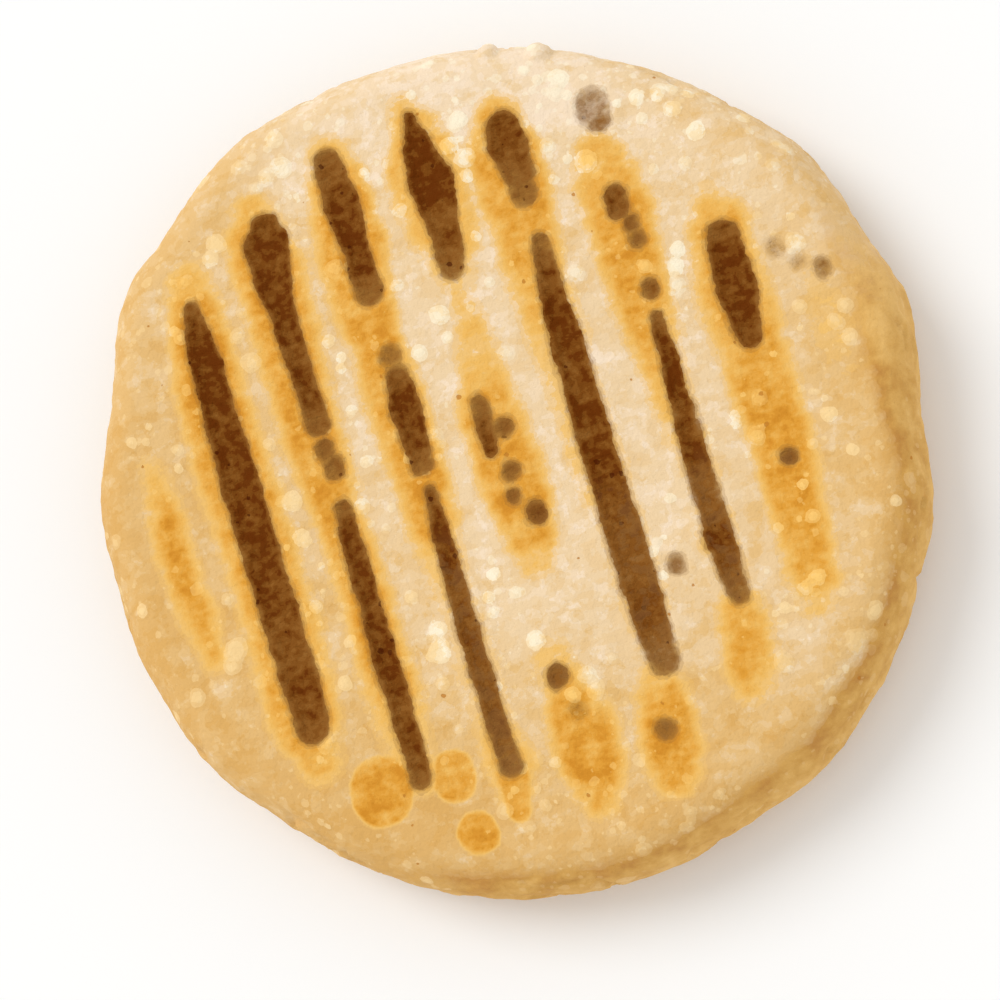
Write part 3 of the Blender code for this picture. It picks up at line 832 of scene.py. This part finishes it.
puff = PUFF_HEIGHT * soft_step(spot_mm, *PUFF_EDGE)
push = lump_push(bare) + groove_push(bare) + crack_push(bare) + puff
push = np.clip(push, DEEPEST, HIGHEST)

# %% [markdown]
# Two blisters stand up on the rim, where steam lifted the skin. They are small round domes.

# %% Blisters on the rim, as direction in degrees, share of the rim, radius and rise
RIM_BLISTERS = [(93.6, 0.965, 1.4, 0.9), (86.4, 0.965, 1.7, 1.0)]


def blister_push(points):
    """Domes on the rim. Formula: the root of one less the squared share of the radius."""
    push = np.zeros(len(points))
    for degrees, rim_share, radius, rise in RIM_BLISTERS:
        turn = math.radians(degrees)
        reach = rim_share * float(rim_distance(turn))
        away = np.hypot(points[:, 0] - reach * math.cos(turn), points[:, 1] - reach * math.sin(turn))
        dome = np.clip(1 - (away / radius) ** 2, 0, 1)
        push += rise * np.sqrt(dome) * (points[:, 2] > BELLY_HEIGHT)
    return push


push += blister_push(bare)
crust = bare + normal * push[:, None]

# %% The base rests on the table
REST_SOFTNESS = 0.03
REST_DEPTH = 0.04


def rested(level):
    """Heights kept above the table. Formula: half of the level plus its rounded absolute value."""
    return (level + np.sqrt(level ** 2 + REST_SOFTNESS ** 2)) / 2


crust[:, 2] = rested(crust[:, 2] - REST_DEPTH)
print("crust from", crust.min(0).round(2), "to", crust.max(0).round(2), "mm")

# %% [markdown]
# ## The mesh
# The arrays go into a mesh in one go. The fields ride along as attributes, one number a point, so
# that the shader knows as exactly as the relief does where the char, the toast and the spots are.

# %% Build the crust
def crust_mesh(name, points, faces):
    """A mesh from arrays of points in millimetres and triangles."""
    mesh = bpy.data.meshes.new(name)
    mesh.vertices.add(len(points))
    mesh.vertices.foreach_set("co", (points * MM).astype(np.float32).ravel())
    mesh.loops.add(faces.size)
    mesh.loops.foreach_set("vertex_index", faces.astype(np.int32).ravel())
    mesh.polygons.add(len(faces))
    mesh.polygons.foreach_set("loop_start", np.arange(0, faces.size, 3, dtype=np.int32))
    mesh.polygons.foreach_set("use_smooth", np.ones(len(faces), bool))
    mesh.update(calc_edges=True)
    mesh.validate()
    return mesh


def write_field(mesh, name, values):
    """Stores one number a point on the mesh, under a name that the shader reads."""
    attribute = mesh.attributes.new(name, "FLOAT", "POINT")
    attribute.data.foreach_set("value", values.astype(np.float32))


# The cream oval and the tan beyond it are partly browning and partly painted light and shade.
CREAM_CENTRE = (8.0, -7.0)
CREAM_REACH = (31.0, 42.0)
CREAM_EDGE = (0.5, 1.45)
CREAM_TAN = 0.28
OUTER_TAN_AND_SHADE = 0.42
BELLY_TAN = 0.25
BELLY_RING = (0.8, 1.3)

# How much more the rim is tanned, as direction in degrees, change inside the shoulder and at it.
# Partly toast and partly painted light: paler on the rim towards the sun, darker as painted shade on the far
# rim.
RIM_TAN_AND_SHADE = [
    (-180, 0.08, 0.12), (-165, 0.06, 0.18), (-150, 0.03, 0.18), (-135, 0.04, 0.16), (-120, 0.13, 0.14),
    (-105, 0.20, 0.30), (-90, 0.18, 0.16), (-75, 0.00, 0.08), (-60, 0.08, 0.12), (-45, 0.07, 0.07),
    (-30, -0.24, -0.02), (-15, -0.04, 0.16), (0, 0.04, 0.26), (15, 0.14, 0.20), (30, 0.02, -0.05),
    (45, -0.26, -0.20), (60, -0.16, -0.16), (75, -0.34, -0.27), (90, -0.40, -0.40), (105, -0.40, -0.40),
    (120, -0.38, -0.38), (135, -0.24, -0.02), (150, -0.26, -0.02), (165, -0.12, -0.02),
]
RIM_RING = (0.55, 0.90)
SHOULDER_RING = (0.83, 0.92)


def tan_and_shade_field(points):
    """How tanned the plain dough is, from 0, palest, to 1, partly browning and partly painted light and
    shade.

    Formula: cream in an oval off the middle and tan beyond it, plus a change at the rim and another
    at the shoulder, both read from a few directions, plus the haze and a little under the belly. The
    pale middle is partly painted light, and the tanner rim partly painted shade, darkest away from the sun.
    """
    along, across = grate_axes(points, TOP_GRATE_TURN)
    out = np.hypot((across - CREAM_CENTRE[0]) / CREAM_REACH[0], (along - CREAM_CENTRE[1]) / CREAM_REACH[1])
    station, *changes = np.array(RIM_TAN_AND_SHADE).T
    inner, outer = (np.interp(np.degrees(direction), station, change, period=360) for change in changes)
    at_shoulder = soft_step(share, *SHOULDER_RING)
    rim = soft_step(share, *RIM_RING) * (inner + (outer - inner) * at_shoulder)
    side = BELLY_TAN * soft_step(down, *BELLY_RING)
    return CREAM_TAN + OUTER_TAN_AND_SHADE * soft_step(out, *CREAM_EDGE) + rim + side + HAZE_TAN * haze


mesh = crust_mesh("arepa_crust", crust, triangles)
fields = {
    "char_mm": char_mm,
    "burn": burn,
    "golden": golden,
    "band_mm": band_mm,
    "band_pale": band_pale,
    "band_cover": band_cover,
    "down": np.clip(down, 0, 2),
    "tan_and_shade": tan_and_shade_field(bare),
    "spot_mm": spot_mm,
    "second_mm": second_mm,
    "paleness": paleness,
    "spot_chance": chance,
}
for name, values in fields.items():
    write_field(mesh, name, values)
arepa_crust = bpy.data.objects.new("arepa_crust", mesh)
bpy.context.scene.collection.objects.link(arepa_crust)
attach(arepa_crust, "root")
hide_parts("arepa")
print(arepa_crust.name, "has", len(mesh.polygons), "triangles and the fields", ", ".join(fields))

# %% [markdown]
# ## Tools for the finish
# A shader is a recipe: read a field, roughen it with noise, and use it as the share in which two
# paints are mixed. These few helpers add one step each, so that the finish below reads like that
# recipe. Everything in it is measured in millimetres on the cake itself.

# %% Paints and steps
LIGHT_LEVEL = 1.06
CLOUD_SHIFT = (1.0, 1.7, 0.6)
GRAIN_SHIFT = (1.0, 0.4, 2.1)

crust_finish = bpy.data.materials.new("corn_crust")
crust_finish.use_nodes = True
tree = crust_finish.node_tree
tree.nodes.clear()


def paint(red, green, blue):
    """A colour as the eye sees it, from 0 to 255, as the share of light that the crust gives back.

    Formula: undo the screen's curve, then divide by how brightly the scene's lights fall on it.
    """
    seen = np.array([red, green, blue]) / 255
    light = np.where(seen > 0.04045, ((seen + 0.055) / 1.055) ** 2.4, seen / 12.92)
    return (*(light / LIGHT_LEVEL), 1.0)


def put(kind, inputs, **settings):
    """Adds one node, with its settings, and gives each input a fixed value or joins an output to it."""
    node = tree.nodes.new(kind)
    for name, value in settings.items():
        setattr(node, name, value)
    for name, value in inputs.items():
        if isinstance(value, bpy.types.NodeSocket):
            tree.links.new(value, node.inputs[name])
        else:
            node.inputs[name].default_value = value
    return node


def calc(operation, first, second=0.0, third=0.0):
    """One sum on one or more numbers, such as ADD, MULTIPLY or MULTIPLY_ADD."""
    return put("ShaderNodeMath", {0: first, 1: second, 2: third}, operation=operation).outputs[0]


def weighed(*terms):
    """A sum of pairs. Formula: each pair's number times its weight, added up."""
    total = 0.0
    for weight, term in terms:
        total = calc("MULTIPLY_ADD", term, weight, total)
    return total


def times(first, *others):
    """A product of two or more numbers."""
    for other in others:
        first = calc("MULTIPLY", first, other)
    return first


def soften(value, low, high):
    """The same soft step as for the relief: 0 at low, 1 at high, eased at both ends."""
    sockets = {"Value": value, "From Min": low, "From Max": high}
    return put("ShaderNodeMapRange", sockets, interpolation_type="SMOOTHSTEP").outputs[0]


def blend(amount, first, second):
    """A mix of two colours: the first at 0, the second at 1."""
    return put("ShaderNodeMix", {0: amount, 6: first, 7: second}, data_type="RGBA").outputs[2]


def field(name):
    """A number that was stored on the mesh."""
    return put("ShaderNodeAttribute", {}, attribute_name=name).outputs["Fac"]


def stretched(place, x, y, z):
    """The same place with each of its three parts multiplied."""
    return put("ShaderNodeVectorMath", {0: place, 1: (x, y, z)}, operation="MULTIPLY").outputs[0]


def clouds(place, size, shift, detail=2.0):
    """Cloudy noise, about -1 to 1, with clouds of a size in millimetres. The shift picks another."""
    moved = put("ShaderNodeVectorMath", {0: place, 1: [shift * share for share in CLOUD_SHIFT]}).outputs[0]
    noise = put("ShaderNodeTexNoise", {"Vector": moved, "Scale": 1 / size, "Detail": detail})
    return calc("MULTIPLY_ADD", noise.outputs["Fac"], 4.0, -2.0)


def grains(place, cell, shift):
    """Round grains, one in each cell: the distance to it in millimetres, and two of its own numbers."""
    moved = put("ShaderNodeVectorMath", {0: place, 1: [shift * share for share in GRAIN_SHIFT]}).outputs[0]
    cells = put("ShaderNodeTexVoronoi", {"Vector": moved, "Scale": 1 / cell})
    own = put("ShaderNodeSeparateColor", {"Color": cells.outputs["Color"]})
    distance = times(cells.outputs["Distance"], cell)
    return distance, own.outputs[0], own.outputs[1]


def wobbled(place, size, reach):
    """The same place moved about by cloudy noise, so that round grains come out irregular."""
    noise = put("ShaderNodeTexNoise", {"Vector": place, "Scale": 1 / size, "Detail": 2.0})
    centred = put("ShaderNodeVectorMath", {0: noise.outputs["Color"], 1: (-0.5, -0.5, -0.5)}).outputs[0]
    return put(
        "ShaderNodeVectorMath", {0: centred, 1: (reach, reach, reach), 2: place}, operation="MULTIPLY_ADD"
    ).outputs[0]


# Places on the cake: plain, turned with the grate, drawn out across the bars, and moved about
on_cake = put("ShaderNodeTexCoord", {}).outputs["Object"]
place = stretched(on_cake, 1 / MM, 1 / MM, 1 / MM)
turned = {"Vector": place, "Angle": -TOP_GRATE_TURN}
on_grate = put("ShaderNodeVectorRotate", turned, rotation_type="Z_AXIS").outputs[0]
streaky = stretched(on_grate, 1.0, 0.36, 0.5)
uneven_place = wobbled(place, 0.8, 0.6)

# %% [markdown]
# ## Dough
# White corn dough dries to cream in the middle and tans towards the rim; the pale middle and the tan
# rim are also partly painted light and shade, darkest on the rim away from the sun. The tan comes in broad
# clouds with smaller ones on top, drawn out a little across the bars, the way a skin creases. Each
# grain of meal takes one tone, so the clouds are stepped a little and not one smooth wash.

# %% Cream and tan dough
DOUGH_STEPS = [
    (0.00, paint(248, 225, 196)),
    (0.30, paint(239, 209, 165)),
    (0.70, paint(230, 188, 123)),
    (1.00, paint(222, 173, 99)),
]


def ramp(amount, steps):
    """A colour scale: a colour at each given share, and even mixes between them."""
    scale = put("ShaderNodeValToRGB", {"Fac": amount})
    stops = scale.color_ramp.elements
    for number, (share_up, colour) in enumerate(steps):
        stop = stops[number] if number < 2 else stops.new(share_up)
        stop.position = share_up
        stop.color = colour
    return scale.outputs["Color"]


def stepped(value, step, firmness):
    """A number drawn part of the way to the middle of its step. Formula: a mix of the two."""
    return weighed((1 - firmness, value), (firmness, calc("SNAP", value, step)), (firmness, step / 2))


# Crisp flakes of skin, as size, shift, threshold and change of tan. Each has a sharp edge.
FLAKE_EDGE = 0.06
FLAKES = [(2.6, 121.0, 0.30, -0.15), (1.7, 123.0, 0.45, -0.13), (3.4, 125.0, 0.35, 0.13)]

TAN_STEP = 0.12
TAN_FIRMNESS = 0.7
TONE_FIRMNESS = 0.85

broad = clouds(place, 9.0, 3.0)
middling = clouds(place, 3.6, 7.0, 4.0)
streaks = clouds(streaky, 1.6, 11.0, 4.0)
small = clouds(place, 2.0, 17.0, 4.0)
fine = clouds(place, 0.8, 19.0, 2.0)
tone = weighed((0.10, broad), (0.14, middling), (0.12, streaks), (0.08, small), (0.03, fine))
for size, shift, threshold, change in FLAKES:
    flake = soften(clouds(place, size, shift, 4.0), threshold, threshold + FLAKE_EDGE)
    tone = calc("MULTIPLY_ADD", flake, change, tone)
# The tan field carries painted light and shade as well as browning.
tan_and_shade_share = stepped(calc("ADD", field("tan_and_shade"), tone), TAN_STEP, TAN_FIRMNESS)
dough = ramp(tan_and_shade_share, DOUGH_STEPS)

# %% [markdown]
# ## Toast
# Toast deepens in steps, from straw to gold to deep gold. Its edge breaks up into small tongues,
# because each grain of meal browns at its own pace.

# %% Golden toast
TOAST_STEPS = [
    (0.15, paint(241, 193, 110)),
    (0.42, paint(238, 184, 92)),
    (0.64, paint(232, 170, 72)),
    (0.84, paint(224, 156, 51)),
    (1.00, paint(212, 141, 38)),
]

TOAST_SHARE_STEP = 0.17
TOAST_TONE_STEP = 0.11
TOAST_EDGE = (0.05, 0.52)
PALE_AT_EDGE = -0.30
LOOSE_EDGE = 0.25

golden_here = field("golden")
tongues = weighed((0.17, streaks), (0.13, small), (0.12, fine), (0.07, middling))
patchy = weighed((0.24, streaks), (0.26, small), (0.14, fine), (0.20, middling), (0.06, broad))
at_edge = times(golden_here, weighed((-1.2, golden_here), (2.0, 1.0)))
uneven_toast = calc("MULTIPLY_ADD", tongues, calc("ADD", at_edge, LOOSE_EDGE), golden_here)
toast = stepped(uneven_toast, TOAST_SHARE_STEP, TONE_FIRMNESS)
toast_tone = weighed((1.15, golden_here), (PALE_AT_EDGE, 1.0), (1.0, times(patchy, golden_here)))
toast_colour = ramp(stepped(toast_tone, TOAST_TONE_STEP, TONE_FIRMNESS), TOAST_STEPS)
crumb = blend(soften(toast, *TOAST_EDGE), dough, toast_colour)

# %% [markdown]
# ## The browned side, with painted shade
# The side never touched the grate, so it has no marks. Heat that rose past the cake browned it in
# a band with a ragged upper edge. The band is partly toast and partly painted shade: it is strongest
# on the side away from the sun, darkest along its upper edge as painted shade under the shoulder,
# lighter lower down as painted light bounced from the table, and dark again round the foot. Its
# paint comes in three layers, each thicker and a little lower than the one before.

# %% Browned band, with painted shade and painted bounce light
BAND_STEPS = [
    (0.00, paint(198, 140, 66)),
    (0.35, paint(213, 160, 80)),
    (0.65, paint(225, 175, 95)),
    (1.00, paint(238, 191, 114)),
]
BAND_LAYERS = ((-1.1, 0.25), (-0.4, 0.40), (0.3, 0.90))
BAND_EDGE = 0.2
BAND_TONE_STEP = 0.11
BAND_FIRMNESS = 0.8
BAND_LIGHTER = 0.22
FOOT_DARKER = -0.42
FOOT_PLACE = (1.35, 1.9)

# The band's darker upper edge and its paleness and cover read by direction are painted shade, strongest away
# from the sun.
band = weighed((1.0, field("band_mm")), (0.55, streaks), (0.50, small), (0.25, fine), (0.30, middling))
mottle = weighed((0.26, middling), (0.24, small), (0.14, streaks), (0.07, fine), (0.22, broad))
# Painted bounce light: the band is painted lighter further down its side.
painted_bounce_light = weighed((0.30, soften(band, 0.3, 3.5)), (0.20, soften(band, 3.0, 8.0)))
by_foot = soften(weighed((1.0, field("down")), (0.3, middling)), *FOOT_PLACE)
band_shift = weighed((1.0, mottle), (1.0, painted_bounce_light), (FOOT_DARKER, by_foot), (0.30, field("band_pale")))
band_tone = stepped(band_shift, BAND_TONE_STEP, BAND_FIRMNESS)
band_colour = ramp(calc("ADD", band_tone, BAND_LIGHTER), BAND_STEPS)
band_cover_here = field("band_cover")
for start, thickness in BAND_LAYERS:
    below = soften(band, start - BAND_EDGE, start + BAND_EDGE)
    crumb = blend(times(below, band_cover_here, thickness), crumb, band_colour)

# %% [markdown]
# ## Floury spots and brown specks
# A spot is paler than whatever it lies on: nearly white on pale dough, straw on tan, light yellow
# on toast. Large ones have a paler heart. Pinheads come from three sizes of round grains, and the
# few brown specks are bits of hull that browned early.

# %% Spots and pinheads
FLOUR = paint(255, 242, 212)
FLOUR_ON_TAN = paint(250, 215, 154)
FLOUR_ON_GOLD = paint(254, 206, 118)
FLOUR_ON_BAND = paint(238, 196, 132)
SPECK = paint(196, 126, 40)
PINHEAD_COVER = 0.40
PINHEAD_LUCK = (0.27, 0.31)
SPOT_COVER = 0.85
DOUBLED_COVER = 0.55
SPECK_CELL = 3.8
SPECK_CHANCE = 0.75
SPECK_COVER = 0.8
GRAIN_EDGE = (0.02, -0.03)
SPOT_EDGE = (0.03, -0.03)
HEART_EDGE = (-0.45, -0.50)

# Pinheads, as cell size, shift and widest radius
PINHEADS = ((2.9, 51.0, 1.05), (1.9, 53.0, 0.75), (1.1, 59.0, 0.42))

flour = blend(soften(tan_and_shade_share, 0.20, 0.62), FLOUR, FLOUR_ON_TAN)
flour = blend(soften(toast, 0.25, 0.75), flour, FLOUR_ON_GOLD)
on_band = times(soften(band, -0.3, 0.3), band_cover_here)
flour = blend(on_band, flour, FLOUR_ON_BAND)

for cell, shift, widest in PINHEADS:
    distance, luck, size = grains(uneven_place, cell, shift)
    radius = times(calc("POWER", size, 1.6), widest)
    shows = soften(weighed((1.0, field("spot_chance")), (-1.0, luck)), *PINHEAD_LUCK)
    covered = times(soften(weighed((1.0, distance), (-1.0, radius)), *GRAIN_EDGE), shows)
    crumb = blend(times(covered, PINHEAD_COVER), crumb, flour)

rough_edge = weighed((0.11, fine), (0.07, small))
spot_edge = calc("ADD", field("spot_mm"), rough_edge)
second_edge = weighed((1.0, field("second_mm")), (1.0, rough_edge), (0.15, middling))
heart_edge = weighed((1.0, spot_edge), (0.25, clouds(place, 1.2, 63.0)))
paleness_here = field("paleness")
inside = times(soften(spot_edge, *SPOT_EDGE), paleness_here, SPOT_COVER)
doubled = times(soften(second_edge, *SPOT_EDGE), DOUBLED_COVER)
heart = times(soften(heart_edge, *HEART_EDGE), paleness_here)
for cover in (inside, doubled, heart):
    crumb = blend(cover, crumb, flour)

distance, luck, size = grains(uneven_place, SPECK_CELL, 67.0)
speck_edge = weighed((1.0, distance), (-0.36, size))
speck = times(soften(speck_edge, 0.0, -0.06), calc("LESS_THAN", luck, SPECK_CHANCE))
crumb = blend(times(speck, SPECK_COVER), crumb, SPECK)

# %% [markdown]
# ## Char
# The grooves are burnt. Where the bar pressed hard the char is a deep dark brown, at the tips it
# thins to a light brown, and a thin scorched border runs all round it. Inside, small dark pits and
# lighter blisters lie across the groove, and some marks carry a thin, ashy bloom near one end.

# %% Char
SCORCH = paint(140, 96, 46)
CHAR_STEPS = [
    (0.00, paint(150, 105, 52)),
    (0.36, paint(144, 96, 42)),
    (0.58, paint(143, 92, 37)),
    (0.80, paint(127, 75, 22)),
    (1.00, paint(104, 49, 6)),
]
PIT = paint(76, 24, 2)
ASH = paint(149, 107, 58)
HEAT_STEP = 0.13
CHAR_EDGE = (0.13, 0.07)
CHAR_STRENGTH = (-0.45, 0.60)
PIT_CELL = 1.5
PIT_CHANCE = 0.35
PIT_COVER = 0.75
ASH_COVER = 0.38
ASHY_ALONG = (6.0, 13.0)
ASHY_ACROSS = (-16.0, -12.0)
ASHY_PATCHES = (-0.15, 0.25)

# The scorched border's two layers, as shift, reach in millimetres and cover
BORDERS = ((107.0, 0.62, 0.26), (109.0, 0.30, 0.42))
BORDER_EDGE = 0.05

edge_mm = weighed((1.0, field("char_mm")), (0.12, fine), (0.10, small), (0.07, streaks))
creases = clouds(stretched(on_grate, 1.0, 0.45, 0.5), 0.8, 79.0, 3.0)
blisters = clouds(place, 1.2, 83.0, 3.0)
patches = clouds(place, 2.6, 85.0, 3.0)
uneven = weighed((0.12, creases), (0.24, blisters), (0.16, patches), (-0.32, soften(edge_mm, -0.55, 0.15)))
heat = stepped(calc("ADD", field("burn"), uneven), HEAT_STEP, TONE_FIRMNESS)
charred = soften(edge_mm, *CHAR_EDGE)
distance, luck, size = grains(uneven_place, PIT_CELL, 89.0)
pit_edge = weighed((1.0, distance), (-0.40, size))
pit = times(soften(pit_edge, 0.0, -0.05), calc("LESS_THAN", luck, PIT_CHANCE), charred)
char = blend(times(pit, PIT_COVER), ramp(heat, CHAR_STEPS), PIT)
along_here, across_here, _ = put("ShaderNodeSeparateXYZ", {"Vector": on_grate}).outputs
ashy_part = times(soften(along_here, *ASHY_ALONG), soften(across_here, *ASHY_ACROSS))
ashy_patch = soften(weighed((1.0, patches), (0.7, blisters)), *ASHY_PATCHES)
char = blend(times(ashy_part, ashy_patch, ASH_COVER), char, ASH)

marked = soften(field("burn"), -0.2, 0.3)
crust_colour = crumb
for shift, reach, cover in BORDERS:
    border = weighed((1.0, edge_mm), (0.16, clouds(place, 0.9, shift, 3.0)), (0.05, creases))
    scorched = times(soften(border, reach + BORDER_EDGE, reach - BORDER_EDGE), marked)
    crust_colour = blend(times(scorched, cover), crust_colour, SCORCH)
crust_colour = blend(times(charred, soften(heat, *CHAR_STRENGTH)), crust_colour, char)

# %% [markdown]
# ## Grain and gloss
# The skin is matt and grainy. Fine bumps stand for single grains of meal, too small for the mesh,
# and the char is rougher than the dough. The toast keeps a trace of gloss from its own oil.

# %% Put the crust together
BUMP_STRENGTH = 0.8
ROUGHNESS = 0.72
SHEEN = 0.12

grain = weighed((0.06, clouds(place, 0.9, 97.0, 4.0)), (0.03, clouds(place, 0.35, 101.0, 2.0)))
crisp = times(charred, weighed((0.10, creases), (0.05, clouds(place, 0.5, 103.0))))
height_mm = weighed((1.0, grain), (1.0, crisp), (-0.10, pit), (-0.06, speck))
bump = put("ShaderNodeBump", {"Height": height_mm, "Distance": MM, "Strength": BUMP_STRENGTH})

roughness = weighed((0.12, charred), (-0.06, soften(toast, 0.4, 0.8)), (0.05, small))
surface = put("ShaderNodeBsdfPrincipled", {
    "Base Color": crust_colour,
    "Roughness": calc("ADD", roughness, ROUGHNESS),
    "Normal": bump.outputs["Normal"],
    "Specular IOR Level": weighed((-0.09, charred), (SHEEN, 1.0)),
})
put("ShaderNodeOutputMaterial", {"Surface": surface.outputs["BSDF"]})
arepa_crust.data.materials.append(crust_finish)
print("the crust's finish has", len(tree.nodes), "nodes")

# %% [markdown]
# ## Table and light
# A plain pale table carries the cake. The sky is pale all round and a little brighter low down,
# which fills every side, and one very soft sun from the left and behind gives the lumps and
# grooves their shape without a hard shadow.

# %% Table
TABLE_REACH = 3.0
TABLE_COLOUR = (0.93, 0.93, 0.92, 1.0)
TABLE_ROUGHNESS = 0.9
TABLE_SHEEN = 0.1
WHITE = (1.0, 1.0, 1.0, 1.0)


def flat_square(name, reach):
    """A square of one face on the ground, reaching that far to each side, in metres."""
    corners = [(-reach, -reach, 0), (reach, -reach, 0), (reach, reach, 0), (-reach, reach, 0)]
    mesh = bpy.data.meshes.new(name)
    mesh.from_pydata(corners, [], [(0, 1, 2, 3)])
    square = bpy.data.objects.new(name, mesh)
    bpy.context.scene.collection.objects.link(square)
    return square


table = flat_square("table", TABLE_REACH)
table_paint = bpy.data.materials.new("pale_table")
table_paint.use_nodes = True
table_shader = table_paint.node_tree.nodes["Principled BSDF"]
table_shader.inputs["Base Color"].default_value = TABLE_COLOUR
table_shader.inputs["Roughness"].default_value = TABLE_ROUGHNESS
table_shader.inputs["Specular IOR Level"].default_value = TABLE_SHEEN
table.data.materials.append(table_paint)

# %% Sky
SKY_LOW = 0.95
SKY_HIGH = 0.74

world = bpy.data.worlds.new("studio_sky")
bpy.context.scene.world = world
world.use_nodes = True
sky = world.node_tree
background = sky.nodes["Background"]
toward = sky.nodes.new("ShaderNodeTexCoord")
parts_of = sky.nodes.new("ShaderNodeSeparateXYZ")
fade = sky.nodes.new("ShaderNodeMapRange")
fade.inputs["To Min"].default_value = SKY_LOW
fade.inputs["To Max"].default_value = SKY_HIGH
sky.links.new(toward.outputs["Generated"], parts_of.inputs[0])
sky.links.new(parts_of.outputs["Z"], fade.inputs["Value"])
sky.links.new(fade.outputs["Result"], background.inputs["Strength"])
background.inputs["Color"].default_value = WHITE

# %% Soft sun
SUN_TOWARDS = (-0.62, 0.30, 0.80)
SUN_STRENGTH = 1.15
SUN_SPREAD = math.radians(32)

sun_light = bpy.data.lights.new("soft_sun", "SUN")
sun_light.energy = SUN_STRENGTH
sun_light.angle = SUN_SPREAD
sun = bpy.data.objects.new("soft_sun", sun_light)
sun.rotation_mode = "QUATERNION"
sun.rotation_quaternion = Vector(SUN_TOWARDS).to_track_quat("Z", "Y")
bpy.context.scene.collection.objects.link(sun)

# %% [markdown]
# ## Camera
# The camera looks down on the cake, a little from one side, so that the marked face fills the view
# and the wall shows as a narrow band on the near side.

# %% Camera
AZIMUTH = math.radians(52)
ELEVATION = math.radians(75)
LENS_MM = 100.0
SENSOR_MM = 36.0
DISTANCE = 356.5 * MM
AIM_RIGHT = -0.7 * MM
AIM_UP = -4.9 * MM
PIVOT = Vector((-0.25, 0.30, 8.0)) * MM


def camera_axes(azimuth, elevation):
    """The camera's right, up and back directions, with its right as near the X axis as it goes."""
    level = math.cos(elevation)
    back = Vector((math.sin(azimuth) * level, -math.cos(azimuth) * level, math.sin(elevation)))
    right = (Vector((1, 0, 0)) - back * back.x).normalized()
    return right, back.cross(right), back


right, up, back = camera_axes(AZIMUTH, ELEVATION)
camera_data = bpy.data.cameras.new("camera")
camera_data.lens = LENS_MM
camera_data.sensor_width = SENSOR_MM
camera = bpy.data.objects.new("camera", camera_data)
camera.matrix_world = Matrix((right, up, back)).transposed().to_4x4()
camera.location = PIVOT + back * DISTANCE + right * AIM_RIGHT + up * AIM_UP
bpy.context.scene.collection.objects.link(camera)
bpy.context.scene.camera = camera
bpy.context.scene.view_settings.view_transform = "Standard"
